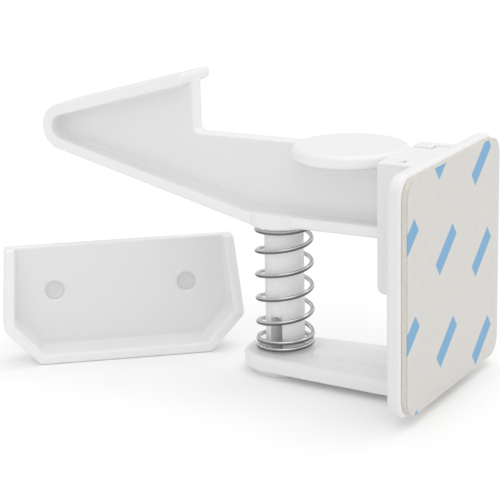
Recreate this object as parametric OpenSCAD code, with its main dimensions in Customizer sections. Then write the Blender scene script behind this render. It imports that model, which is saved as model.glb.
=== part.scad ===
// Spring-loaded cabinet safety lock with its loose catch plate, in millimetres.
// X = 0 is the outer face of the adhesive pad and the arm points to -X.
// Z = 0 is the middle of the back plate's height.

/* [Back plate] */
// Width of the back plate
plate_w = 40; // [34:0.5:60]
// Thickness of the back plate
plate_t = 2.5; // [1.6:0.1:4]
// Corner radius of the back plate
plate_r = 3.6; // [1:0.1:6]
// Height of the plate's top edge above the arm's top
plate_over = 0.15; // [0:0.05:4]

/* [Adhesive pad] */
// Margin of bare plate round the foam tape
tape_inset = 0.6; // [0.2:0.1:3]
// Thickness of the foam tape
tape_t = 1; // [0.5:0.1:2]
// Thickness of the paper release liner
liner_t = 0.1; // [0.06:0.01:0.3]

/* [Shelf] */
// Thickness of the shelf under the spring
shelf_t = 2.7; // [2:0.1:4]
// Radius of the shelf's round end
shelf_end_r = 7.3; // [6.8:0.1:9]
// Width of the shelf where it meets the plate
shelf_root_w = 19.2; // [15:0.2:30]
// Width of the stiffening rib on the shelf
rib_w = 6; // [3:0.2:9]
// Height of the stiffening rib
rib_h = 1; // [0.6:0.1:2]
// Height of the round boss under the shelf and the plate's foot
boss_h = 1.2; // [0.6:0.1:3]
// Wall of the boss round its recess
boss_wall = 1.5; // [0.6:0.1:1.8]
// Depth of the recess past the shelf's underside
recess_d = 0.9; // [0.4:0.1:1.2]

/* [Guide rails] */
// Thickness of the lip that holds the arm's head
lip_t = 3.45; // [2:0.05:5]
// Wall of a rail outside its groove
rail_wall = 1.7; // [1:0.1:3]
// Height of the plate's top edge above the rails
rail_drop = 0.45; // [0:0.05:3]
// Length of rail left under the head of the pressed arm
rail_spare = 0.6; // [0.2:0.1:3]

/* [Arm] */
// Width of the arm over its flanges
arm_w = 9.6; // [8:0.1:11]
// Thickness of the arm's web
web_t = 3.4; // [2:0.1:5]
// Thickness of the flange along the underside and nose
flange_t = 2.2; // [1:0.1:2.5]
// Thickness of the ramp flange at the lip
ramp_t = 2.2; // [1:0.1:3]
// Depth of the arm's level stretch
arm_h = 14.5; // [11:0.1:18]
// Distance from the adhesive face to the nose
reach = 79.2; // [72:0.2:100]
// Radius of the nose
nose_r = 4.3; // [3:0.1:6]
// Height of the nose's centre above the underside
nose_rise = 13.9; // [10:0.1:18]
// Distance from the adhesive face to the catch face
catch_x = 48.9; // [44:0.1:54]
// Height of the lip above the arm's top
lip_rise = 11; // [8:0.1:15]
// Fillet at the foot of the catch face
catch_r = 1.2; // [0.5:0.1:3]
// Distance from the adhesive face to the bend of the underside
bend_x = 37; // [34:0.2:42]
// Depth of the arm's root below the arm's top
root_drop = 0.9; // [0.4:0.1:1.2]
// Width of each key that runs in a rail's groove
head_key = 2.2; // [1:0.1:3]
// Thickness of the head between the rails
head_t = 2.6; // [1.6:0.1:4]

/* [Thumb pad] */
// Diameter of the thumb pad
pad_d = 20; // [15:0.2:20]
// Thickness of the thumb pad
pad_t = 1.7; // [1.5:0.1:2.4]
// Distance from the adhesive face to the pad's centre
pad_x = 19.2; // [19.2:0.1:22]
// Height of the pad above the arm's top
pad_over = 0.1; // [0:0.1:0.6]

/* [Post] */
// Distance from the adhesive face to the post and spring
post_x = 32.2; // [30:0.1:35]
// Diameter of the post
post_d = 6.9; // [6:0.1:7.4]
// Overhang of the barbs past the bore
barb = 0.6; // [0.3:0.05:0.9]
// Width of the slot that splits the post
slot_w = 1.95; // [1.4:0.05:3]
// Length of the slot
slot_l = 9.3; // [6:0.1:16]
// Width of the seat's rim round the spring
seat_rim = 1; // [0.5:0.1:2]
// Height of the spring seat under the arm
seat_h = 0.35; // [0.2:0.05:1]

/* [Spring] */
// Length of the spring in the closed lock
spring_l = 22.8; // [19:0.1:28]
// Outer diameter of the spring
spring_d = 10.4; // [10:0.1:12]
// Diameter of the wire
wire_d = 0.8; // [0.5:0.05:0.9]
// Turns that carry the load
free_turns = 4.45; // [3:0.05:5]
// Closed turns at the foot
foot_turns = 1.5; // [1:0.05:2]
// Closed turns at the top
top_turns = 0.55; // [0.5:0.05:1.5]
// Open gap between closed turns
closed_gap = 0.45; // [0.42:0.01:0.6]
// Direction in which the wire starts at the foot, in degrees
start_turn = 180; // [-180:1:180]

/* [Catch plate] */
// Length of the catch plate at its widest
catch_len = 43.6; // [38:0.2:60]
// Length along the top edge
catch_top_len = 41.6; // [36:0.2:58]
// Length along the foot
catch_foot_len = 31.2; // [26:0.2:36]
// Height of the catch plate
catch_h = 20.7; // [18:0.1:20.8]
// Height of the sloped lower corners
catch_corner_h = 6.8; // [4:0.1:9]
// Depth of the tray at its foot
catch_depth = 7.5; // [4:0.1:10]
// Height of the side walls at the top edge
catch_rise = 1.3; // [0.5:0.1:2]
// Wall of the tray
catch_wall = 1.9; // [1.2:0.1:2.5]
// Thickness of the tray's back
catch_back_t = 1.8; // [1.2:0.1:3]
// Diameter of the screw holes
screw_d = 3.4; // [2.5:0.1:5]
// Distance between the screw holes
screw_pitch = 24.2; // [16:0.2:28]
// Height of the screw holes above the foot
screw_z = 12.1; // [8:0.1:15]
// Turn of the catch plate about the vertical, in degrees
catch_yaw = 39; // [30:1:45]

/* [Motion] */
// Travel of the pressed arm
press = 7.5; // [4:0.1:7.5]

/* [Clearances] */
// Gap between the arm's root and the rails
slide_gap = 0.3; // [0.15:0.05:0.4]
// Gap round the post in its bore
bore_gap = 0.1; // [0.05:0.01:0.1]
// Gap at the barbs' stop and at the spring's ends
seat_gap = 0.06; // [0.02:0.01:0.2]

/* [Hidden] */
$fn = 96;

white = "#f2f2f1";
arc_steps = 14;
cut = 1;

// Levels above the table that the boss stands on
shelf_z = boss_h;
shelf_top = shelf_z + shelf_t;
seat_z = shelf_top + spring_l;
arm_under = seat_z + seat_h;
arm_top = arm_under + arm_h;
root_top = arm_top - root_drop;
lip_z = arm_top + lip_rise;
pad_top = arm_top + pad_over;
plate_top = arm_top + plate_over;
plate_h = plate_top - shelf_z;
rail_top = plate_top - rail_drop;
rail_z = arm_under - press - rail_spare;
stop_z = shelf_z + recess_d;

// Planes along X
plate_back = -(liner_t + tape_t);
plate_front = plate_back - plate_t;
head_back = plate_front - slide_gap;
head_front = head_back - head_t;
lip_back = head_front - slide_gap;
rail_front = lip_back - lip_t;
root_front = rail_front - slide_gap;

// Half widths and radii
slot_half = arm_w / 2 + slide_gap;
head_half = arm_w / 2 + head_key;
groove_half = head_half + slide_gap;
rail_half = groove_half + rail_wall;
post_r = post_d / 2;
bore_r = post_r + bore_gap;
barb_r = bore_r + barb;
recess_r = barb_r + slide_gap;
boss_r = recess_r + boss_wall;
seat_r = spring_d / 2 + seat_rim;
coil_r = (spring_d - wire_d) / 2;

// Side view points of the arm
nose = [-(reach - nose_r), arm_under + nose_rise];
bend = [-bend_x, arm_under];
lip = [-catch_x, lip_z];

// Foot of the catch plate's front rim, standing beside the arm on the same table
catch_place = [-60.37, -8.3];

function polar(centre, r, a) = centre + r * [cos(a), sin(a)];

function arc(centre, r, from, to) =
    [for (i = [0 : arc_steps]) polar(centre, r, from + (to - from) * i / arc_steps)];

// Angle on a circle where the line from a point outside touches it, on the left or right side
function touch(point, centre, r, side) =
    let (v = point - centre)
    atan2(v.y, v.x) + side * acos(r / norm(v));

function rounded(w, h, r) = concat(
    arc([w / 2 - r, h - r], r, 0, 90),
    arc([r - w / 2, h - r], r, 90, 180),
    arc([r - w / 2, r], r, 180, 270),
    arc([w / 2 - r, r], r, 270, 360));

// A convex outline moved inwards by d, its points counted anticlockwise
function inset(points, d) =
    let (n = len(points))
    [for (i = [0 : n - 1])
        let (p = points[i],
             a = p - points[(i + n - 1) % n],
             b = points[(i + 1) % n] - p,
             na = [-a.y, a.x] / norm(a),
             nb = [-b.y, b.x] / norm(b))
        p + d * (na + nb) / (1 + na * nb)];

module from_table() {
    translate([0, 0, -shelf_z - plate_h / 2]) children();
}

// A side view, X against Z, given a width along Y
module side_view(points, w, y = 0) {
    translate([0, y + w / 2, 0]) rotate([90, 0, 0]) linear_extrude(w) polygon(points);
}

// A front view, Y against Z, given a thickness along X
module front_view(points, t, x) {
    translate([x, 0, 0]) rotate([90, 0, 90]) linear_extrude(t) polygon(points);
}

module block(x, half_w, z) {
    translate([x[0], -half_w, z[0]]) cube([x[1] - x[0], 2 * half_w, z[1] - z[0]]);
}

module rails() {
    reach_z = [rail_z, rail_top];
    cut_z = [rail_z - cut, rail_top + cut];
    difference() {
        block([rail_front, plate_front + plate_t / 2], rail_half, reach_z);
        block([rail_front - cut, plate_front], slot_half, cut_z);
        block([lip_back, plate_front], groove_half, cut_z);
    }
}

module shelf() {
    centre = [-post_x, 0];
    root = plate_front + plate_t / 2;
    corner = [root, shelf_root_w / 2];
    a = touch(corner, centre, shelf_end_r, 1);
    translate([0, 0, shelf_z]) linear_extrude(shelf_t)
        polygon(concat([corner], arc(centre, shelf_end_r, a, 360 - a), [[root, -corner.y]]));
    block([-post_x + seat_r, root], rib_w / 2, [shelf_top - cut, shelf_top + rib_h]);
    translate([-post_x, 0, 0]) cylinder(h = shelf_z + cut, r = boss_r);
}

module base_bracket() {
    color(white) from_table() difference() {
        union() {
            translate([0, 0, shelf_z]) front_view(rounded(plate_w, plate_h, plate_r), plate_t, plate_front);
            rails();
            shelf();
        }
        translate([-post_x, 0, -cut]) cylinder(h = shelf_top + 2 * cut, r = bore_r);
        translate([-post_x, 0, -cut]) cylinder(h = stop_z + cut, r = recess_r);
    }
}

// Side view of the whole arm, from the head round the nose and lip to the root's top
function arm_outline() = concat(
    [[head_front, arm_under], bend],
    arc(nose, nose_r, 360 + touch(bend, nose, nose_r, -1), touch(lip, nose, nose_r, 1)),
    [lip],
    arc([catch_r - catch_x, arm_top + catch_r], catch_r, 180, 270),
    [[-pad_x, arm_top], [-pad_x, root_top], [head_front, root_top]]);

// Side view of the pockets that leave the web between the flanges
function pocket_outline() =
    let (r = nose_r - flange_t,
         floor_z = arm_under + flange_t,
         low = [-bend_x, floor_z],
         high = [-catch_x, lip_z - ramp_t],
         open_x = cut - catch_x)
    concat(
        [[root_front, floor_z], low],
        arc(nose, r, 360 + touch(low, nose, r, -1), touch(high, nose, r, 1)),
        [high, [open_x, high.y], [open_x, arm_top + cut], [root_front, arm_top + cut]]);

module pockets() {
    depth = (arm_w - web_t) / 2;
    for (side = [-1, 1])
        side_view(pocket_outline(), depth + cut, side * (web_t + depth + cut) / 2);
}

module thumb_pad() {
    edge_r = pad_t / 2;
    rim = pad_d / 2 - edge_r;
    translate([-pad_x, 0, pad_top - pad_t])
        rotate_extrude() polygon(concat([[0, 0]], arc([rim, edge_r], edge_r, -90, 90), [[0, pad_t]]));
}

// Split post with barbs that snap under the shelf
module snap_post() {
    tip_z = seat_gap;
    barb_z = stop_z - seat_gap;
    translate([-post_x, 0, 0]) difference() {
        union() {
            translate([0, 0, tip_z]) cylinder(h = arm_under + flange_t - tip_z, r = post_r);
            translate([0, 0, tip_z]) cylinder(h = barb_z - tip_z, r1 = post_r - barb, r2 = barb_r);
            translate([0, 0, seat_z]) cylinder(h = seat_h + flange_t, r = seat_r);
        }
        translate([-slot_w / 2, -seat_r, tip_z - cut]) cube([slot_w, 2 * seat_r, slot_l + cut]);
        translate([0, 0, tip_z + slot_l]) rotate([90, 0, 0])
            cylinder(h = 2 * seat_r, d = slot_w, center = true);
    }
}

module latch_arm() {
    color(white) from_table() {
        difference() {
            side_view(arm_outline(), arm_w);
            pockets();
        }
        block([head_front, head_back], head_half, [arm_under, root_top]);
        thumb_pad();
        snap_post();
    }
}

// Compression spring, one round wire along a right-hand helix with closed ends
spring_sides = 6;
turn_rings = 24;
all_turns = foot_turns + free_turns + top_turns;
ring_count = ceil(all_turns * turn_rings);
wire_low = shelf_top + seat_gap + wire_d / 2;
wire_high = seat_z - seat_gap - wire_d / 2;
closed_pitch = wire_d + closed_gap;
wire_heights = [
    [0, wire_low],
    [foot_turns, wire_low + foot_turns * closed_pitch],
    [foot_turns + free_turns, wire_high - top_turns * closed_pitch],
    [all_turns, wire_high]];

function wire_turn(i) = all_turns * i / ring_count;
function wire_angle(i) = start_turn + 360 * wire_turn(i);
function wire_point(i) = [
    coil_r * cos(wire_angle(i)),
    coil_r * sin(wire_angle(i)),
    lookup(wire_turn(i), wire_heights)];

wire_path = [for (i = [0 : ring_count]) wire_point(i)];
wire_rings = [for (i = [0 : ring_count])
    let (out = [cos(wire_angle(i)), sin(wire_angle(i)), 0])
    for (k = [0 : spring_sides - 1])
        let (a = 360 * k / spring_sides)
        wire_path[i] + wire_d / 2 * (cos(a) * out + sin(a) * [0, 0, 1])];
wire_walls = [for (i = [0 : ring_count - 1], k = [0 : spring_sides - 1])
    let (a = i * spring_sides + k,
         b = i * spring_sides + (k + 1) % spring_sides)
    each [[a, a + spring_sides, b], [b, a + spring_sides, b + spring_sides]]];
wire_ends = [for (k = [1 : spring_sides - 2])
    let (e = ring_count * spring_sides)
    each [[0, k, k + 1], [e, e + k + 1, e + k]]];

// Least clear distance between one turn and the next
spring_gap = min([for (i = [0 : ring_count], j = [i + turn_rings / 2 : ring_count])
    norm(wire_path[i] - wire_path[j])]) - wire_d;
echo(spring_least_gap = spring_gap);

module spring() {
    color("silver") from_table() translate([-post_x, 0, 0])
        polyhedron(points = wire_rings, faces = concat(wire_walls, wire_ends));
}

module pad_sheet(t, x) {
    outline = rounded(plate_w - 2 * tape_inset, plate_h - 2 * tape_inset, plate_r - tape_inset / 2);
    from_table() translate([0, 0, shelf_z + tape_inset]) front_view(outline, t, x);
}

module foam_tape() {
    color("#cfc6b6") pad_sheet(tape_t, plate_back);
}

module release_liner() {
    color("#dedbd6") pad_sheet(liner_t, -liner_t);
}

// Tray outline drawn up to a height z, seen from the front
function tray_outline(z) =
    let (lean = (catch_top_len - catch_len) / 2 / (catch_h - catch_corner_h),
         half = catch_len / 2,
         foot = catch_foot_len / 2,
         top = half + lean * (z - catch_corner_h))
    [[-foot, 0], [foot, 0], [half, catch_corner_h], [top, z], [-top, z], [-half, catch_corner_h]];

module catch_plate() {
    tray = catch_depth - catch_back_t;
    color(white) from_table() translate(catch_place) rotate(catch_yaw) difference() {
        side_view(tray_outline(catch_h), catch_depth, catch_depth / 2);
        side_view(inset(tray_outline(catch_h + 2 * catch_wall), catch_wall), tray + cut, (tray - cut) / 2);
        front_view([[-cut, catch_corner_h], [0, catch_corner_h], [tray - catch_rise, catch_h],
                    [tray - catch_rise, catch_h + cut], [-cut, catch_h + cut]], 2 * catch_len, -catch_len);
        for (side = [-1, 1])
            translate([side * screw_pitch / 2, 0, screw_z]) rotate([-90, 0, 0])
                cylinder(h = catch_depth + cut, d = screw_d);
    }
}

base_bracket();
latch_arm();
spring();
foam_tape();
release_liner();
catch_plate();
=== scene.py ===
# Spring-loaded cabinet lock with its loose catch plate, in metres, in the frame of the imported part
import math

import bmesh
import bpy
from mathutils import Matrix, Vector


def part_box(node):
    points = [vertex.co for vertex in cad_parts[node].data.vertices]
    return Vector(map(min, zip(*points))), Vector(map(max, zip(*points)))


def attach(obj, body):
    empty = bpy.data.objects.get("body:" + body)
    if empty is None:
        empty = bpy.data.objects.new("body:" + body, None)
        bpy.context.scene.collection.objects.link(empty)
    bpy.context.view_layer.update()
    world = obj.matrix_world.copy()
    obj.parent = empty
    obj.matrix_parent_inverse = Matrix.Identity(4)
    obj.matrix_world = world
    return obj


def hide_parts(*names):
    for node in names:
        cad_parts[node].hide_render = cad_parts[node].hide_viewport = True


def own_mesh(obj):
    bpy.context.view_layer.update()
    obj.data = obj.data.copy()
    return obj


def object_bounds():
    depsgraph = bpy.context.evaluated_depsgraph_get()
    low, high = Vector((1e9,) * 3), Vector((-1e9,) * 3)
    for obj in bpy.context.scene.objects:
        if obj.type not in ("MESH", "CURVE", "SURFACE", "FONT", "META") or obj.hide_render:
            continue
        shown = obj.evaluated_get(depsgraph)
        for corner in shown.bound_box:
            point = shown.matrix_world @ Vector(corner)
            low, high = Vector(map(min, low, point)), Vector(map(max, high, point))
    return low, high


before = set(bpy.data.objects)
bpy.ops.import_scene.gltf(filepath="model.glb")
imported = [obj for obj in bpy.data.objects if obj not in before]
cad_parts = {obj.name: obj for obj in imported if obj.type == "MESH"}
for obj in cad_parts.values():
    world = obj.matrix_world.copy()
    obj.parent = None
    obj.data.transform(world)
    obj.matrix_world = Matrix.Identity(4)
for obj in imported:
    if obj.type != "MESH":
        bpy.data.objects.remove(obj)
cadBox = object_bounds()
mm = 0.001


def linear(hexColour):
    channels = [int(hexColour[i:i + 2], 16) / 255 for i in (1, 3, 5)]
    return [c / 12.92 if c <= 0.04045 else ((c + 0.055) / 1.055) ** 2.4 for c in channels] + [1.0]


# Adds a node: lower-case settings are its own properties, the others are its sockets
def addNode(tree, kind, settings, links):
    node = tree.nodes.new(kind)
    for name, value in settings.items():
        if isinstance(name, str) and name.islower():
            setattr(node, name, value)
        else:
            node.inputs[name].default_value = value
    for name, socket in links.items():
        tree.links.new(socket, node.inputs[name])
    return node


def newMaterial(name):
    material = bpy.data.materials.new(name)
    material.use_nodes = True
    material.node_tree.nodes.clear()
    return material, material.node_tree


def finishMaterial(tree, shader):
    addNode(tree, "ShaderNodeOutputMaterial", {}, {"Surface": shader.outputs[0]})


def addPiece(name, bm, material, body, node):
    mesh = bpy.data.meshes.new(name)
    bm.to_mesh(mesh)
    bm.free()
    mesh.shade_smooth()
    mesh.materials.append(material)
    piece = bpy.data.objects.new(name, mesh)
    bpy.context.scene.collection.objects.link(piece)
    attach(piece, body)
    if node:
        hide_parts(node)
    print(f"{name}: {len(mesh.polygons)} faces")
    return piece


# Moulded ABS: satin white, with the faint grain of an eroded mould and slow sink waves in the flats.
# The side flats and recessed flats get painted shade: a greyer colour than the rims
absLook = {
    # "deep" is the painted shade colour of the side and recessed flats
    "white": "#f9f9f9", "shade": "#f6f6f6", "deep": "#eeeeee", "roughness": (0.36, 0.44), "ior": 1.53,
    "grain": 0.35 * mm, "grainDepth": 0.004 * mm,   # really near 0.05 mm, coarser so that it shows
    "sink": 14 * mm, "sinkDepth": 0.012 * mm,
}


def makeAbs():
    s = absLook
    material, tree = newMaterial("moulded ABS")
    place = addNode(tree, "ShaderNodeTexCoord", {}, {}).outputs["Object"]
    grain = addNode(tree, "ShaderNodeTexNoise", {"Scale": 1 / s["grain"], "Detail": 2.0},
                    {"Vector": place})
    sink = addNode(tree, "ShaderNodeTexNoise", {"Scale": 1 / s["sink"], "Detail": 1.0},
                   {"Vector": place})
    tint = addNode(tree, "ShaderNodeMix",
                   {"data_type": "RGBA", 6: linear(s["white"]), 7: linear(s["shade"])},
                   {0: sink.outputs["Fac"]})
    # Painted shade: the marked flats are mixed towards the greyer "deep" colour
    paintedShade = addNode(tree, "ShaderNodeAttribute", {"attribute_name": "paintedShade"}, {}).outputs["Fac"]
    tint = addNode(tree, "ShaderNodeMix", {"data_type": "RGBA", 7: linear(s["deep"])},
                   {0: paintedShade, 6: tint.outputs[2]})
    gloss = addNode(tree, "ShaderNodeMapRange",
                    {"To Min": s["roughness"][0], "To Max": s["roughness"][1]},
                    {"Value": grain.outputs["Fac"]})
    waves = addNode(tree, "ShaderNodeBump", {"Strength": 1.0, "Distance": s["sinkDepth"]},
                    {"Height": sink.outputs["Fac"]})
    bumps = addNode(tree, "ShaderNodeBump", {"Strength": 1.0, "Distance": s["grainDepth"]},
                    {"Height": grain.outputs["Fac"], "Normal": waves.outputs["Normal"]})
    shader = addNode(tree, "ShaderNodeBsdfPrincipled", {"IOR": s["ior"]},
                     {"Base Color": tint.outputs[2], "Roughness": gloss.outputs["Result"],
                      "Normal": bumps.outputs["Normal"]})
    finishMaterial(tree, shader)
    return material


# Spring steel: bright drawn wire, with the die's draw lines along it, drawn dark enough to be partly
# painted dark reflection, and a painted dark reflection along the outside of the coil
wireSteel = {
    "bright": "#f2f2f2", "darkLinesAndReflection": "#727272", "roughness": (0.1, 0.24), "contrast": (0.3, 0.56),
    "lines": 0.2 * mm,   # real draw lines are near 0.02 mm, drawn coarser so that they show
    "paintedReflectionAt": -0.08, "paintedReflectionWide": (0.1, 0.32),   # shares of half the girth, from the coil's outside
}


def makeWireSteel(halfGirth):
    s = wireSteel
    material, tree = newMaterial("drawn spring steel")
    around = addNode(tree, "ShaderNodeAttribute", {"attribute_name": "around"}, {}).outputs["Fac"]
    lines = addNode(tree, "ShaderNodeTexNoise",
                    {"noise_dimensions": "1D", "Scale": halfGirth / s["lines"], "Detail": 1.0},
                    {"W": around})
    # Draw lines, partly real and partly painted dark reflection
    drawn = addNode(tree, "ShaderNodeMapRange",
                    {"From Min": s["contrast"][0], "From Max": s["contrast"][1]},
                    {"Value": lines.outputs["Fac"]})
    # Painted dark reflection: a dark band along the outside of the coil
    away = addNode(tree, "ShaderNodeMath", {"operation": "SUBTRACT", 1: s["paintedReflectionAt"]}, {0: around})
    away = addNode(tree, "ShaderNodeMath", {"operation": "ABSOLUTE"}, {0: away.outputs[0]})
    offPaintedReflection = addNode(tree, "ShaderNodeMapRange",
                    {"interpolation_type": "SMOOTHSTEP",
                     "From Min": s["paintedReflectionWide"][0], "From Max": s["paintedReflectionWide"][1]},
                    {"Value": away.outputs[0]})
    brightShare = addNode(tree, "ShaderNodeMath", {"operation": "MULTIPLY"},
                     {0: drawn.outputs["Result"], 1: offPaintedReflection.outputs["Result"]})
    tint = addNode(tree, "ShaderNodeMix",
                   {"data_type": "RGBA", 6: linear(s["darkLinesAndReflection"]), 7: linear(s["bright"])},
                   {0: brightShare.outputs[0]})
    gloss = addNode(tree, "ShaderNodeMapRange",
                    {"To Min": s["roughness"][1], "To Max": s["roughness"][0]},
                    {"Value": brightShare.outputs[0]})
    shader = addNode(tree, "ShaderNodeBsdfPrincipled", {"Metallic": 1.0},
                     {"Base Color": tint.outputs[2], "Roughness": gloss.outputs["Result"]})
    finishMaterial(tree, shader)
    return material


# Polyethylene foam: matt and warm grey, with the small closed cells cut open along its edge
foamLook = {
    "pale": "#e6e3db", "dark": "#d2cec4", "roughness": 0.9, "cell": 0.28 * mm, "cellDepth": 0.05 * mm,
}


def makeFoam():
    s = foamLook
    material, tree = newMaterial("polyethylene foam")
    place = addNode(tree, "ShaderNodeTexCoord", {}, {}).outputs["Object"]
    cells = addNode(tree, "ShaderNodeTexVoronoi", {"Scale": 1 / s["cell"]}, {"Vector": place})
    tint = addNode(tree, "ShaderNodeMix",
                   {"data_type": "RGBA", 6: linear(s["dark"]), 7: linear(s["pale"])},
                   {0: cells.outputs["Distance"]})
    bumps = addNode(tree, "ShaderNodeBump", {"Strength": 0.6, "Distance": s["cellDepth"]},
                    {"Height": cells.outputs["Distance"]})
    shader = addNode(tree, "ShaderNodeBsdfPrincipled", {"Roughness": s["roughness"]},
                     {"Base Color": tint.outputs[2], "Normal": bumps.outputs["Normal"]})
    finishMaterial(tree, shader)
    return material


# Release paper: calendered and siliconised, so it is smooth, with a low sheen and a cloudy formation
paperLook = {
    "light": "#e3e0db", "cloud": "#d9d6d1", "roughness": 0.42, "clouds": 1.6 * mm,
    "fibre": 0.3 * mm, "fibreDepth": 0.004 * mm,
    # Plain printed dashes, in millimetres and degrees
    "ink": "#74add6", "dash": 19.0, "row": 13.0, "bare": 5.1, "slant": 38,
}


def makePaper():
    s = paperLook
    material, tree = newMaterial("release paper")
    place = addNode(tree, "ShaderNodeTexCoord", {}, {}).outputs["Object"]
    clouds = addNode(tree, "ShaderNodeTexNoise", {"Scale": 1 / s["clouds"], "Detail": 4.0},
                     {"Vector": place})
    fibres = addNode(tree, "ShaderNodeTexNoise", {"Scale": 1 / s["fibre"], "Detail": 2.0},
                     {"Vector": place})
    tint = addNode(tree, "ShaderNodeMix",
                   {"data_type": "RGBA", 6: linear(s["cloud"]), 7: linear(s["light"])},
                   {0: clouds.outputs["Fac"]})
    slanted = addNode(tree, "ShaderNodeMapping", {"Rotation": (math.radians(-s["slant"]), 0, 0)},
                      {"Vector": place})
    parts = addNode(tree, "ShaderNodeSeparateXYZ", {}, {0: slanted.outputs[0]})
    sheet = addNode(tree, "ShaderNodeCombineXYZ", {},
                    {"X": parts.outputs["Y"], "Y": parts.outputs["Z"]})
    dashes = addNode(tree, "ShaderNodeTexBrick",
                     {"Scale": 1 / mm, "Brick Width": s["dash"], "Row Height": s["row"],
                      "Mortar Size": s["bare"], "Mortar Smooth": 0.0}, {"Vector": sheet.outputs[0]})
    printed = addNode(tree, "ShaderNodeMix", {"data_type": "RGBA", 6: linear(s["ink"])},
                      {0: dashes.outputs["Fac"], 7: tint.outputs[2]})
    bumps = addNode(tree, "ShaderNodeBump", {"Strength": 1.0, "Distance": s["fibreDepth"]},
                    {"Height": fibres.outputs["Fac"]})
    shader = addNode(tree, "ShaderNodeBsdfPrincipled", {"Roughness": s["roughness"]},
                     {"Base Color": printed.outputs[2], "Normal": bumps.outputs["Normal"]})
    finishMaterial(tree, shader)
    return material


# Acrylic foam tape: milky white, smooth and a little glossy, with faint clouds from its coating
tapeLook = {"milk": "#e7e7e7", "cloud": "#dfdfdf", "roughness": 0.35, "clouds": 2.5 * mm}


def makeTapeFoam():
    s = tapeLook
    material, tree = newMaterial("acrylic foam tape")
    place = addNode(tree, "ShaderNodeTexCoord", {}, {}).outputs["Object"]
    clouds = addNode(tree, "ShaderNodeTexNoise", {"Scale": 1 / s["clouds"], "Detail": 3.0},
                     {"Vector": place})
    tint = addNode(tree, "ShaderNodeMix",
                   {"data_type": "RGBA", 6: linear(s["cloud"]), 7: linear(s["milk"])},
                   {0: clouds.outputs["Fac"]})
    shader = addNode(tree, "ShaderNodeBsdfPrincipled", {"Roughness": s["roughness"]},
                     {"Base Color": tint.outputs[2]})
    finishMaterial(tree, shader)
    return material


# Shells are drawn in millimetres and made metres when the piece is finished
def box(node):
    low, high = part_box(node)
    return Vector(low) / mm, Vector(high) / mm


# How near counts as the same place, in millimetres: to join points, to cut, and to find an edge
nearness = {"weld": 0.001, "carveWeld": 0.002, "cut": 0.0001, "edge": 0.01, "loose": 0.1}


def lineTo(bm, chain, *points):
    for point in points:
        tip = bmesh.ops.extrude_vert_indiv(bm, verts=[chain[-1]])["verts"][0]
        tip.co = point
        chain.append(tip)


def arcTo(bm, chain, centre, axis, degrees, steps):
    known = len(bm.verts)
    bmesh.ops.spin(bm, geom=[chain[-1]], cent=centre, axis=axis, angle=math.radians(degrees),
                   steps=steps, use_duplicate=False)
    bm.verts.ensure_lookup_table()
    chain += bm.verts[known:]


def pushOut(bm, faces, way, keepFoot=True):
    grown = bmesh.ops.extrude_face_region(bm, geom=faces)["geom"]
    bmesh.ops.translate(bm, vec=way, verts=[g for g in grown if isinstance(g, bmesh.types.BMVert)])
    if not keepFoot:
        bmesh.ops.delete(bm, geom=[face for face in faces if face.is_valid], context="FACES_ONLY")
    return [g for g in grown if isinstance(g, bmesh.types.BMFace)]


# Closes a flat outline and gives it a thickness
def thicken(bm, chain, way):
    pushOut(bm, [bm.faces.new(chain)], way)
    bmesh.ops.recalc_face_normals(bm, faces=bm.faces)
    return bm


def makeSlab(points, way):
    bm = bmesh.new()
    chain = [bm.verts.new(points[0])]
    lineTo(bm, chain, *points[1:])
    return thicken(bm, chain, way)


# A half section, turned round an upright axis
def turnProfile(points, centre, steps):
    bm = bmesh.new()
    chain = [bm.verts.new((centre[0] + points[0][0], centre[1], points[0][1]))]
    lineTo(bm, chain, *[(centre[0] + r, centre[1], z) for r, z in points[1:]])
    bmesh.ops.spin(bm, geom=list(bm.verts) + list(bm.edges), cent=(*centre, 0), axis=(0, 0, 1),
                   angle=2 * math.pi, steps=steps, use_merge=True, use_duplicate=False)
    bmesh.ops.remove_doubles(bm, verts=bm.verts, dist=nearness["weld"])
    bmesh.ops.recalc_face_normals(bm, faces=bm.faces)
    return bm


def onCircle(centre, radius, degrees):
    angle = math.radians(degrees)
    return centre[0] + radius * math.cos(angle), centre[1] + radius * math.sin(angle)


def turnArc(centre, radius, start, end, steps):
    return [onCircle(centre, radius, start + (end - start) * i / steps) for i in range(steps + 1)]


# Where the line from a point touches a circle, as an angle on the circle, in degrees
def touch(point, centre, radius, side):
    way = Vector(point) - Vector(centre)
    return math.degrees(math.atan2(way.y, way.x) + side * math.acos(radius / way.length))


# Cuts one shell out of another
def carve(shell, tool):
    holders = []
    for bm in (shell, tool):
        mesh = bpy.data.meshes.new("shell")
        bm.to_mesh(mesh)
        bm.free()
        holders.append(bpy.data.objects.new("shell", mesh))
        bpy.context.scene.collection.objects.link(holders[-1])
    cut = holders[0].modifiers.new("cut", "BOOLEAN")
    cut.operation = "DIFFERENCE"
    cut.solver = "EXACT"
    cut.object = holders[1]
    carved = bmesh.new()
    carved.from_object(holders[0], bpy.context.evaluated_depsgraph_get())
    for holder in holders:
        bpy.data.meshes.remove(holder.data)
    bmesh.ops.remove_doubles(carved, verts=carved.verts, dist=nearness["carveWeld"])
    return carved


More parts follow.
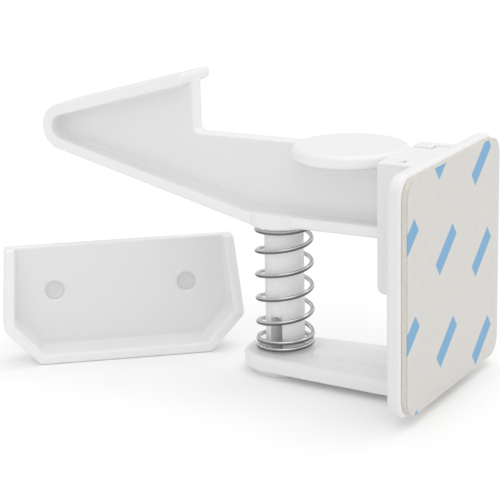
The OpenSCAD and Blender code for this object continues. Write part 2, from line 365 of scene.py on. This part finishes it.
# A plate in the YZ plane with round corners, in the unit of its two corner points
def makePlate(low, high, corner, steps):
    bm = bmesh.new()
    bmesh.ops.create_grid(bm, x_segments=1, y_segments=1, size=0.5)
    bmesh.ops.scale(bm, vec=(high.z - low.z, high.y - low.y, 1), verts=bm.verts)
    bmesh.ops.bevel(bm, geom=list(bm.verts), offset=corner, offset_type="OFFSET", affect="VERTICES",
                    segments=steps, profile=0.5, material=-1)
    stand = (Matrix.Translation((low.x, (low.y + high.y) / 2, (low.z + high.z) / 2))
             @ Matrix.Rotation(math.pi / 2, 4, "Y"))
    bmesh.ops.transform(bm, matrix=stand, verts=bm.verts)
    pushOut(bm, list(bm.faces), (high.x - low.x, 0, 0))
    bmesh.ops.recalc_face_normals(bm, faces=bm.faces)
    return bm


# Edges that turn by more than "sharp" degrees are rounded, by "widest" millimetres at most
edgeSize = {"widest": 2.0, "sharp": 28, "segments": 4}


# Gives every edge its rounding: outer edges one size and inner corners another, in millimetres
def soften(bm, outer, inner, special=None):
    layers = bm.edges.layers.float
    weights = layers.get("bevel_weight_edge") or layers.new("bevel_weight_edge")
    for edge in bm.edges:
        if edge.calc_face_angle(0) < math.radians(edgeSize["sharp"]):
            continue
        size = outer if edge.is_convex else inner
        if special:
            size = special(edge, size)
        edge[weights] = size / edgeSize["widest"]
        edge.smooth = size > 0
    return bm


# Marks the flats that get painted shade, by how much of it each face takes
def markPaintedShade(bm, share):
    paintedShade = bm.faces.layers.float.new("paintedShade")
    for face in bm.faces:
        face[paintedShade] = float(share(face))


sideShare = 0.9   # how much of a side's normal points sideways


def isSide(face):
    return abs(face.normal.y) > sideShare


def makeMoulding(node, body, name, material, shells):
    bm = bmesh.new()
    # Layer for painted shade, at nothing where none is painted
    bm.faces.layers.float.new("paintedShade")
    for shell in shells:
        mesh = bpy.data.meshes.new("shell")
        shell.to_mesh(mesh)
        shell.free()
        bm.from_mesh(mesh)
        bpy.data.meshes.remove(mesh)
    bmesh.ops.scale(bm, vec=(mm, mm, mm), verts=bm.verts)
    piece = addPiece(name, bm, material, body, node)
    bevel = piece.modifiers.new("soft edges", "BEVEL")
    bevel.limit_method = "WEIGHT"
    bevel.width = edgeSize["widest"] * mm
    bevel.segments = edgeSize["segments"]
    bevel.profile = 0.5
    bevel.use_clamp_overlap = False
    flats = piece.modifiers.new("flat faces", "WEIGHTED_NORMAL")
    flats.weight = 100
    flats.keep_sharp = True


postSpot = (sum(c.x for c in box("spring")) / 2, 0.0)

# Back plate with two hooked rails for the arm's head, and the shelf that carries the spring
bracketSize = {
    "plate": 2.5, "corner": 3.6, "cornerSteps": 14, "plateRound": 0.8, "sunk": 1.25,
    "railFront": -10.25, "lipBack": -6.8, "railHalf": 9.0, "slotHalf": 5.1, "grooveHalf": 7.3,
    "railDrop": 0.45, "railLength": 22.3, "railRound": 0.45, "railFootRound": 1.5,
    "shelf": 2.7, "shelfEnd": 7.3, "endSteps": 40, "shelfRoot": 9.6, "wireGap": 0.06,
    "shelfRound": 0.9, "shelfFootRound": 0.4,
    "bore": 3.55, "recess": 4.45, "recessDeep": 0.9, "boreSteps": 64, "cutPast": 1.0,
    "boss": 5.95, "bossRound": 0.2, "bossSunk": 0.5,
    "rib": 3.0, "ribHigh": 1.0, "ribStart": 6.2, "ribRound": 0.98, "ribSunk": 1.0,
}


def bracketShells():
    s = bracketSize
    low, high = box("base_bracket")
    shelfTop = box("spring")[0].z - s["wireGap"]
    shelfFoot = shelfTop - s["shelf"]
    front = high.x - s["plate"]
    root = front + s["sunk"]
    plate = makePlate(Vector((front, low.y, shelfFoot)), high, s["corner"], s["cornerSteps"])
    # Painted shade on the plate's sides, fading round the corners
    markPaintedShade(plate, lambda face: face.normal.y ** 2)   # fades round the corners
    shells = [soften(plate, s["plateRound"], 0)]
    railFoot = high.z - s["railDrop"] - s["railLength"]

    def railEdge(edge, size):
        foot = all(abs(v.co.z - railFoot) < nearness["edge"]
                   and abs(v.co.x - s["railFront"]) < nearness["edge"] for v in edge.verts)
        return s["railFootRound"] if foot else size

    for side in (-1, 1):
        outline = [(root, s["railHalf"]), (s["railFront"], s["railHalf"]),
                   (s["railFront"], s["slotHalf"]), (s["lipBack"], s["slotHalf"]),
                   (s["lipBack"], s["grooveHalf"]), (root, s["grooveHalf"])]
        rail = makeSlab([(x, side * y, railFoot) for x, y in outline], (0, 0, s["railLength"]))
        # Painted shade on the rails' sides
        markPaintedShade(rail, isSide)
        shells.append(soften(rail, s["railRound"], 0, railEdge))

    # The shelf narrows to a round end under the spring
    corner = (root, s["shelfRoot"])
    start = touch(corner, postSpot, s["shelfEnd"], 1)
    bm = bmesh.new()
    chain = [bm.verts.new((*corner, shelfFoot))]
    lineTo(bm, chain, (*onCircle(postSpot, s["shelfEnd"], start), shelfFoot))
    arcTo(bm, chain, (*postSpot, 0), (0, 0, 1), 360 - 2 * start, s["endSteps"])
    lineTo(bm, chain, (root, -s["shelfRoot"], shelfFoot))
    thicken(bm, chain, (0, 0, s["shelf"]))
    holeFoot = low.z - s["cutPast"]
    holeTop = shelfTop + s["cutPast"]
    recessTop = shelfFoot + s["recessDeep"]
    hole = [(0, holeFoot), (s["recess"], holeFoot), (s["recess"], recessTop), (s["bore"], recessTop),
            (s["bore"], holeTop), (0, holeTop)]
    shelf = carve(bm, turnProfile(hole, postSpot, s["boreSteps"]))

    def shelfEdge(edge, size):
        middle = (edge.verts[0].co + edge.verts[1].co) / 2
        if (middle.xy - Vector(postSpot)).length < s["recess"] + nearness["loose"]:
            return 0
        return s["shelfRound"] if middle.z > shelfTop - nearness["edge"] else s["shelfFootRound"]

    shells.append(soften(shelf, s["shelfRound"], 0, shelfEdge))
    bossTop = shelfFoot + s["bossSunk"]
    bossLow = [(0, low.z), (s["boss"], low.z), (s["boss"], bossTop), (0, bossTop)]
    boss = carve(turnProfile(bossLow, postSpot, s["boreSteps"]),
                 turnProfile(hole, postSpot, s["boreSteps"]))
    shells.append(soften(boss, s["bossRound"], 0))
    ribStart = postSpot[0] + s["ribStart"]
    outline = [(ribStart, -s["rib"]), (root, -s["rib"]), (root, s["rib"]), (ribStart, s["rib"])]
    rib = makeSlab([(x, y, shelfTop - s["ribSunk"]) for x, y in outline],
                   (0, 0, s["ribSunk"] + s["ribHigh"]))
    shells.append(soften(rib, s["ribRound"], 0))
    return shells


# Hook arm: an I-section that ends in a ramp, with a thumb pad, a head for the rails and a snap post
armSize = {
    "width": 9.6, "web": 3.4, "flange": 2.2, "ramp": 2.2, "deep": 14.5, "lipRise": 11.0, "webSunk": 0.8,
    "noseRound": 4.3, "noseRise": 13.9, "noseSteps": 28, "bend": -37.0,
    "catch": -48.9, "catchFillet": 1.2, "catchSteps": 8,
    "edge": 0.6, "fillet": 0.7, "lipRound": 1.0,
    "rootFront": -10.55, "rootDrop": 0.5, "headFront": -6.5, "headHalf": 7.0, "headRound": 0.35,
    "pad": 10.0, "padSpot": (-19.2, 0.0), "padOver": 0.1, "padRound": 0.95, "padDeep": 1.9,
    "padSteps": 96, "rimUnder": -70, "rimSteps": (8, 6), "padEdge": 0.3, "padFillet": 0.5,
    "cove": [(7.6, 2.25), (5.4, 2.7), (3.4, 3.3), (1.5, 4.4), (0, 4.4)],   # radius, depth under the top
    "seat": 6.2, "seatHigh": 0.35, "seatRound": 0.5, "seatSteps": 72, "seatUnder": 0.03,
    "post": 3.45, "tip": 0.6, "barb": 4.15, "barbRise": 1.98, "postSunk": 0.7, "postSteps": 64,
    "postRound": 0.12, "slot": 1.95, "slotLong": 9.3, "slotSteps": 12, "cutPast": 1.0,
}


def hookShell(armTop):
    s = armSize
    low, high = box("latch_arm")
    under = armTop - s["deep"]
    rootTop = armTop - s["rootDrop"]
    inside = s["rootFront"] + s["webSunk"]
    nose = (low.x + s["noseRound"], under + s["noseRise"])

    def flangeLine(bm, startZ, radius, endZ):
        bend = (s["bend"], startZ)
        tip = (s["catch"], endZ)
        first = 360 + touch(bend, nose, radius, -1)
        last = touch(tip, nose, radius, 1)
        spot = onCircle(nose, radius, first)
        chain = [bm.verts.new((inside, 0, startZ))]
        lineTo(bm, chain, (bend[0], 0, bend[1]), (spot[0], 0, spot[1]))
        arcTo(bm, chain, (nose[0], 0, nose[1]), (0, 1, 0), first - last, s["noseSteps"])
        lineTo(bm, chain, (tip[0], 0, tip[1]))
        return chain

    bm = bmesh.new()
    outer = flangeLine(bm, under, s["noseRound"], high.z)
    inner = flangeLine(bm, under + s["flange"], s["noseRound"] - s["flange"], high.z - s["ramp"])
    crest = [inner[-1]]
    filletTop = armTop + s["catchFillet"]
    lineTo(bm, crest, (s["catch"], 0, filletTop))
    arcTo(bm, crest, (s["catch"] + s["catchFillet"], 0, filletTop), (0, -1, 0), 90, s["catchSteps"])
    padX = s["padSpot"][0]
    lineTo(bm, crest, (padX, 0, armTop), (padX, 0, rootTop), (inside, 0, rootTop))
    faces = [bm.faces.new(outer + inner[::-1]), bm.faces.new(inner + crest[1:])]
    caps = pushOut(bm, faces, (0, -s["web"] / 2, 0), keepFoot=False)
    flange = min(caps, key=lambda face: min(v.co.z for v in face.verts))
    pushOut(bm, [flange], (0, -(s["width"] - s["web"]) / 2, 0), keepFoot=False)
    bmesh.ops.delete(bm, geom=[edge for edge in bm.edges if edge.is_wire], context="EDGES")
    bmesh.ops.mirror(bm, geom=list(bm.verts) + list(bm.edges) + list(bm.faces), axis="Y",
                     merge_dist=nearness["weld"])
    bmesh.ops.recalc_face_normals(bm, faces=bm.faces)
    lipFoot = high.z - s["ramp"] - nearness["edge"]

    def hookEdge(edge, size):
        ends = [v.co for v in edge.verts]
        across = abs(ends[0].y - ends[1].y) > nearness["loose"]
        if across and all(abs(e.x - s["catch"]) < nearness["edge"] and e.z > lipFoot for e in ends):
            return s["lipRound"]
        return 0 if min(e.x for e in ends) > padX - nearness["edge"] else size

    def inWeb(face):
        return isSide(face) and max(abs(v.co.y) for v in face.verts) < s["web"] / 2 + nearness["edge"]

    def inPocket(face):
        return inWeb(face) or any(inWeb(other) for edge in face.edges if not edge.is_convex
                                  for other in edge.link_faces)

    # Painted shade on the recessed web and the fillets round it
    markPaintedShade(bm, inPocket)
    return soften(bm, s["edge"], s["fillet"], hookEdge)


def armShells():
    s = armSize
    low, high = box("latch_arm")
    armTop = high.z - s["lipRise"]
    under = armTop - s["deep"]
    rootTop = armTop - s["rootDrop"]
    shells = [hookShell(armTop)]
    half = s["width"] / 2
    outline = [(s["rootFront"], -half), (s["headFront"], -half), (s["headFront"], -s["headHalf"]),
               (high.x, -s["headHalf"]), (high.x, s["headHalf"]), (s["headFront"], s["headHalf"]),
               (s["headFront"], half), (s["rootFront"], half)]
    head = makeSlab([(x, y, under) for x, y in outline], (0, 0, rootTop - under))
    shells.append(soften(head, s["headRound"], 0))

    # Thumb pad with a round rim, coved underneath towards the web
    top = armTop + s["padOver"]
    rim = s["pad"] - s["padRound"]
    rimLow = top - s["padDeep"] + s["padRound"] / 2
    profile = [(0, top)]
    profile += turnArc((rim, top - s["padRound"]), s["padRound"], 90, 0, s["rimSteps"][0])
    profile += turnArc((rim, rimLow), s["padRound"], 0, s["rimUnder"], s["rimSteps"][1])
    profile += [(radius, top - depth) for radius, depth in s["cove"]]
    pad = turnProfile(profile, s["padSpot"], s["padSteps"])
    shells.append(soften(pad, s["padEdge"], s["padFillet"]))

    # Round seat for the spring, and the post with barbs at its foot and a slot that lets them spring in
    seatTop = under + s["flange"] - s["seatUnder"]
    seatFoot = under - s["seatHigh"]
    seat = [(0, seatTop), (s["seat"], seatTop), (s["seat"], seatFoot), (0, seatFoot)]
    shells.append(soften(turnProfile(seat, postSpot, s["seatSteps"]), s["seatRound"], 0))
    barbZ = low.z + s["barbRise"]
    slotTop = low.z + s["slotLong"]
    postTop = under + s["postSunk"]
    post = [(0, low.z), (s["post"] - s["tip"], low.z), (s["barb"], barbZ), (s["post"], barbZ),
            (s["post"], slotTop + s["slot"]), (s["post"], postTop), (0, postTop)]
    bm = bmesh.new()
    left, right = postSpot[0] - s["slot"] / 2, postSpot[0] + s["slot"] / 2
    slotFoot = low.z - s["cutPast"]
    chain = [bm.verts.new((left, -s["seat"], slotFoot))]
    lineTo(bm, chain, (right, -s["seat"], slotFoot), (right, -s["seat"], slotTop))
    arcTo(bm, chain, (postSpot[0], -s["seat"], slotTop), (0, -1, 0), 180, s["slotSteps"])
    thicken(bm, chain, (0, 2 * s["seat"], 0))
    shells.append(soften(carve(turnProfile(post, postSpot, s["postSteps"]), bm), s["postRound"], 0))
    return shells


# Catch plate: a shallow tray, open at the top, with two screw holes through its back
catchSize = {
    "spot": (-60.37, -8.3), "turn": 39, "wide": 43.6, "top": 41.6, "foot": 31.2, "high": 20.7,
    "cornerHigh": 6.8, "deep": 7.5, "wall": 1.9, "wallTop": 1.3, "back": 1.8,
    "hole": 1.7, "pitch": 24.2, "holeZ": 12.1, "holeSteps": 48, "drill": 14.0,
    "edge": 0.55, "fillet": 0.6, "holeRound": 0.62,
    "tapeWide": 33.0, "tapeHigh": 14.0, "tapeFoot": 3.5, "tapeDeep": 1.0, "tapeCorner": 2.0,
    "tapeSteps": 8, "tapeGap": 0.1, "pocketRound": 0.12,
}


# Tape on the back of the catch plate, or its pocket, before the plate is put in its place
def tapeSlab(gap, thick):
    s = catchSize
    half = s["tapeWide"] / 2 - gap
    low = Vector((0, -half, s["tapeFoot"] + gap))
    high = Vector((thick, half, s["tapeFoot"] + s["tapeHigh"] - gap))
    bm = makePlate(low, high, s["tapeCorner"] - gap, s["tapeSteps"])
    stand = (Matrix.Translation((0, s["deep"] - s["tapeDeep"], 0))
             @ Matrix.Rotation(math.pi / 2, 4, "Z"))
    bmesh.ops.transform(bm, matrix=stand, verts=bm.verts)
    return bm


def putCatch(bm):
    s = catchSize
    spot = (*s["spot"], box("catch_plate")[0].z)
    place = Matrix.Translation(spot) @ Matrix.Rotation(math.radians(s["turn"]), 4, "Z")
    bmesh.ops.transform(bm, matrix=place, verts=bm.verts)


def catchShells():
    s = catchSize
    slope = s["high"] - s["cornerHigh"]
    lean = (s["top"] - s["wide"]) / 2 / slope
    tall = s["high"] + 2 * s["wall"]   # past the open top, which is cut off below
    crown = s["wide"] / 2 + lean * (tall - s["cornerHigh"])
    trayDeep = s["deep"] - s["back"]
    bm = bmesh.new()
    outline = [(-s["foot"] / 2, 0), (s["foot"] / 2, 0), (s["wide"] / 2, s["cornerHigh"]),
               (crown, tall), (-crown, tall), (-s["wide"] / 2, s["cornerHigh"])]
    chain = [bm.verts.new((outline[0][0], s["deep"], outline[0][1]))]
    lineTo(bm, chain, *[(x, s["deep"], z) for x, z in outline[1:]])
    front = pushOut(bm, [bm.faces.new(chain)], (0, -s["deep"], 0))
    bmesh.ops.recalc_face_normals(bm, faces=bm.faces)
    bmesh.ops.inset_region(bm, faces=front, thickness=s["wall"], use_even_offset=True)
    pushOut(bm, front, (0, trayDeep, 0), keepFoot=False)
    cuts = [((0, 0, s["high"]), (0, 0, 1)),
            ((0, 0, s["cornerHigh"]), (0, -slope, trayDeep - s["wallTop"]))]
    for spot, way in cuts:
        bmesh.ops.bisect_plane(bm, geom=list(bm.verts) + list(bm.edges) + list(bm.faces), plane_co=spot,
                               plane_no=Vector(way).normalized(), clear_outer=True,
                               dist=nearness["cut"])
        bmesh.ops.holes_fill(bm, edges=[e for e in bm.edges if e.is_boundary], sides=0)
    bmesh.ops.recalc_face_normals(bm, faces=bm.faces)
    for side in (-1, 1):
        drill = bmesh.new()
        place = (Matrix.Translation((side * s["pitch"] / 2, s["deep"], s["holeZ"]))
                 @ Matrix.Rotation(math.pi / 2, 4, "X"))
        bmesh.ops.create_cone(drill, cap_ends=True, segments=s["holeSteps"], radius1=s["hole"],
                              radius2=s["hole"], depth=s["drill"], matrix=place)
        bm = carve(bm, drill)
    bm = carve(bm, tapeSlab(0, 2 * s["tapeDeep"]))
    pocketFront = s["deep"] - s["tapeDeep"] - nearness["edge"]
    pocketHalf = (s["tapeWide"] / 2 + nearness["edge"], s["tapeHigh"] / 2 + nearness["edge"])

    def trayEdge(edge, size):
        middle = (edge.verts[0].co + edge.verts[1].co) / 2
        toHole = min((Vector((side * s["pitch"] / 2, s["holeZ"])) - middle.xz).length
                     for side in (-1, 1))
        if (middle.y > pocketFront and abs(middle.x) < pocketHalf[0]
                and abs(middle.z - s["tapeFoot"] - s["tapeHigh"] / 2) < pocketHalf[1]):
            return s["pocketRound"]
        return s["holeRound"] if toHole < s["hole"] + nearness["loose"] else size

    def isFloor(face):
        return max(abs(v.co.y - trayDeep) for v in face.verts) < nearness["edge"]

    # Painted shade on the tray's recessed back
    markPaintedShade(bm, isFloor)
    soften(bm, s["edge"], s["fillet"], trayEdge)
    putCatch(bm)
    return [bm]


whiteAbs = makeAbs()
makeMoulding("base_bracket", "base", "baseBracket", whiteAbs, bracketShells())
makeMoulding("latch_arm", "arm", "latchArm", whiteAbs, armShells())
makeMoulding("catch_plate", "base", "catchPlate", whiteAbs, catchShells())

# Compression spring: one round wire swept round the post, with closed turns at both ends
springSize = {
    "wire": 0.8 * mm, "footTurns": 1.5, "freeTurns": 4.45, "topTurns": 0.55, "closedGap": 0.45 * mm,
    "start": 180, "sides": 20, "turnSteps": 48,
}


def makeSpring():
    s = springSize
    low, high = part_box("spring")
    axis = Vector(((low.x + high.x) / 2, (low.y + high.y) / 2, 0))
    coil = (high.y - low.y - s["wire"]) / 2
    closedPitch = s["wire"] + s["closedGap"]
    rise = high.z - low.z - s["wire"]
    freePitch = (rise - (s["footTurns"] + s["topTurns"]) * closedPitch) / s["freeTurns"]
    bm = bmesh.new()
    around = bm.verts.layers.float.new("around")
    ring = bmesh.ops.create_circle(bm, segments=s["sides"], radius=s["wire"] / 2)["verts"]
    for vert in ring:
        vert[around] = math.atan2(vert.co.y, vert.co.x) / math.pi   # 0 on the outside of the coil
    place = (Matrix.Translation(axis + Vector((0, 0, low.z + s["wire"] / 2)))
             @ Matrix.Rotation(math.radians(s["start"]), 4, "Z")
             @ Matrix.Translation((coil, 0, 0)) @ Matrix.Rotation(math.pi / 2, 4, "X"))
    bmesh.ops.transform(bm, matrix=place, verts=ring)
    end = list(bm.verts) + list(bm.edges)
    coils = [(s["footTurns"], closedPitch), (s["freeTurns"], freePitch), (s["topTurns"], closedPitch)]
    for turns, pitch in coils:
        steps = round(turns * s["turnSteps"])
        swept = bmesh.ops.spin(bm, geom=end, cent=axis, axis=(0, 0, 1),
                               dvec=(0, 0, turns * pitch / steps), angle=turns * 2 * math.pi,
                               steps=steps, use_duplicate=False)
        end = swept["geom_last"]
    bmesh.ops.holes_fill(bm, edges=[e for e in bm.edges if e.is_boundary], sides=0)
    bmesh.ops.recalc_face_normals(bm, faces=bm.faces)
    steel = makeWireSteel(math.pi * s["wire"] / 2)
    spring = addPiece("springWire", bm, steel, "base", "spring")
    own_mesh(spring)


makeSpring()

# Foam pad and its release paper, both cut to one rounded square
padSize = {
    "corner": 3.3 * mm, "cornerSteps": 12, "cutSteps": 2,
    "cutRound": 0.2,   # share of the thickness
}


def roundCut(piece, width):
    bevel = piece.modifiers.new("cut edge", "BEVEL")
    bevel.width = width
    bevel.segments = padSize["cutSteps"]
    bevel.limit_method = "ANGLE"
    return bevel


def makeSheet(node, name, material):
    low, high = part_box(node)
    bm = makePlate(low, high, padSize["corner"], padSize["cornerSteps"])
    piece = addPiece(name, bm, material, "base", node)
    roundCut(piece, padSize["cutRound"] * (high.x - low.x)).harden_normals = True
    return piece


foam = makeSheet("foam_tape", "foamTape", makeFoam())
makeSheet("release_liner", "releaseLiner", makePaper())


# Tape in the pocket behind the catch plate, which closes the screw holes from behind
def makeCatchTape():
    s = catchSize
    bm = tapeSlab(s["tapeGap"], s["tapeDeep"])
    putCatch(bm)
    bmesh.ops.scale(bm, vec=(mm, mm, mm), verts=bm.verts)
    tape = addPiece("catchTape", bm, makeTapeFoam(), "base", None)
    roundCut(tape, s["pocketRound"] * mm)


makeCatchTape()

# White table, lit a little for the camera and for reflections only, so that it keeps the shadow
floorSize = {"size": 20.0, "white": "#f8f8f8", "lift": 0.1}


def makeFloor():
    s = floorSize
    material, tree = newMaterial("white table")
    path = addNode(tree, "ShaderNodeLightPath", {}, {})
    seen = addNode(tree, "ShaderNodeMath", {"operation": "ADD"},
                   {0: path.outputs["Is Camera Ray"], 1: path.outputs["Is Glossy Ray"]})
    seen = addNode(tree, "ShaderNodeMath", {"operation": "ADD"},
                   {0: seen.outputs[0], 1: path.outputs["Is Transmission Ray"]})
    lift = addNode(tree, "ShaderNodeMath",
                   {"operation": "MULTIPLY", 1: s["lift"], "use_clamp": True}, {0: seen.outputs[0]})
    paint = addNode(tree, "ShaderNodeBsdfDiffuse", {"Color": linear(s["white"])}, {})
    glow = addNode(tree, "ShaderNodeEmission", {}, {"Strength": lift.outputs[0]})
    both = addNode(tree, "ShaderNodeAddShader", {}, {0: paint.outputs[0], 1: glow.outputs[0]})
    finishMaterial(tree, both)
    bm = bmesh.new()
    bmesh.ops.create_grid(bm, x_segments=1, y_segments=1, size=s["size"] / 2)
    bmesh.ops.translate(bm, vec=(0, 0, cadBox[0].z), verts=bm.verts)
    mesh = bpy.data.meshes.new("floor")
    bm.to_mesh(mesh)
    bm.free()
    mesh.materials.append(material)
    floor = bpy.data.objects.new("floor", mesh)
    bpy.context.scene.collection.objects.link(floor)


makeFloor()

# White room with four weak soft lamps
light = {
    "room": 0.685,
    "lamps": {"backLamp": {"energy": 0.62, "from": (0.06, 0.34, 0.94), "spread": 42},
              "frontLamp": {"energy": 0.4, "from": (0.3, -0.55, 0.78), "spread": 60},
              "rightLamp": {"energy": 0.18, "from": (0.95, -0.1, 0.3), "spread": 60},
              "leftLamp": {"energy": 0.06, "from": (-0.4, -0.8, 0.45), "spread": 60}},
}


def makeLight():
    s = light
    world = bpy.data.worlds.new("white room")
    bpy.context.scene.world = world
    world.use_nodes = True
    background = world.node_tree.nodes["Background"]
    background.inputs["Color"].default_value = (1, 1, 1, 1)
    background.inputs["Strength"].default_value = s["room"]
    for name, lampSize in s["lamps"].items():
        lamp = bpy.data.lights.new(name, "SUN")
        lamp.energy = lampSize["energy"]
        lamp.angle = math.radians(lampSize["spread"])
        holder = bpy.data.objects.new(name, lamp)
        holder.rotation_euler = Vector(lampSize["from"]).to_track_quat("Z", "Y").to_euler()
        bpy.context.scene.collection.objects.link(holder)


makeLight()

# Camera, as measured from the photograph: its place in millimetres and its turn in degrees
cameraPlace = {
    "spot": (110.1, -266.2, 84.95), "azimuth": 29.26, "elevation": 15.66, "roll": -1.34,
    "lens": 129.2, "nearest": 10 * mm,
}


def makeCamera():
    s = cameraPlace
    camera = bpy.data.objects.new("camera", bpy.data.cameras.new("camera"))
    camera.data.lens = s["lens"]
    camera.data.clip_start = s["nearest"]
    turn = (Matrix.Rotation(math.radians(s["azimuth"]), 4, "Z")
            @ Matrix.Rotation(math.radians(90 - s["elevation"]), 4, "X")
            @ Matrix.Rotation(math.radians(s["roll"]), 4, "Z"))
    camera.matrix_world = Matrix.Translation(Vector(s["spot"]) * mm) @ turn
    bpy.context.scene.collection.objects.link(camera)
    bpy.context.scene.camera = camera


makeCamera()
bpy.context.scene.view_settings.view_transform = "Standard"
print("table, light and camera set")
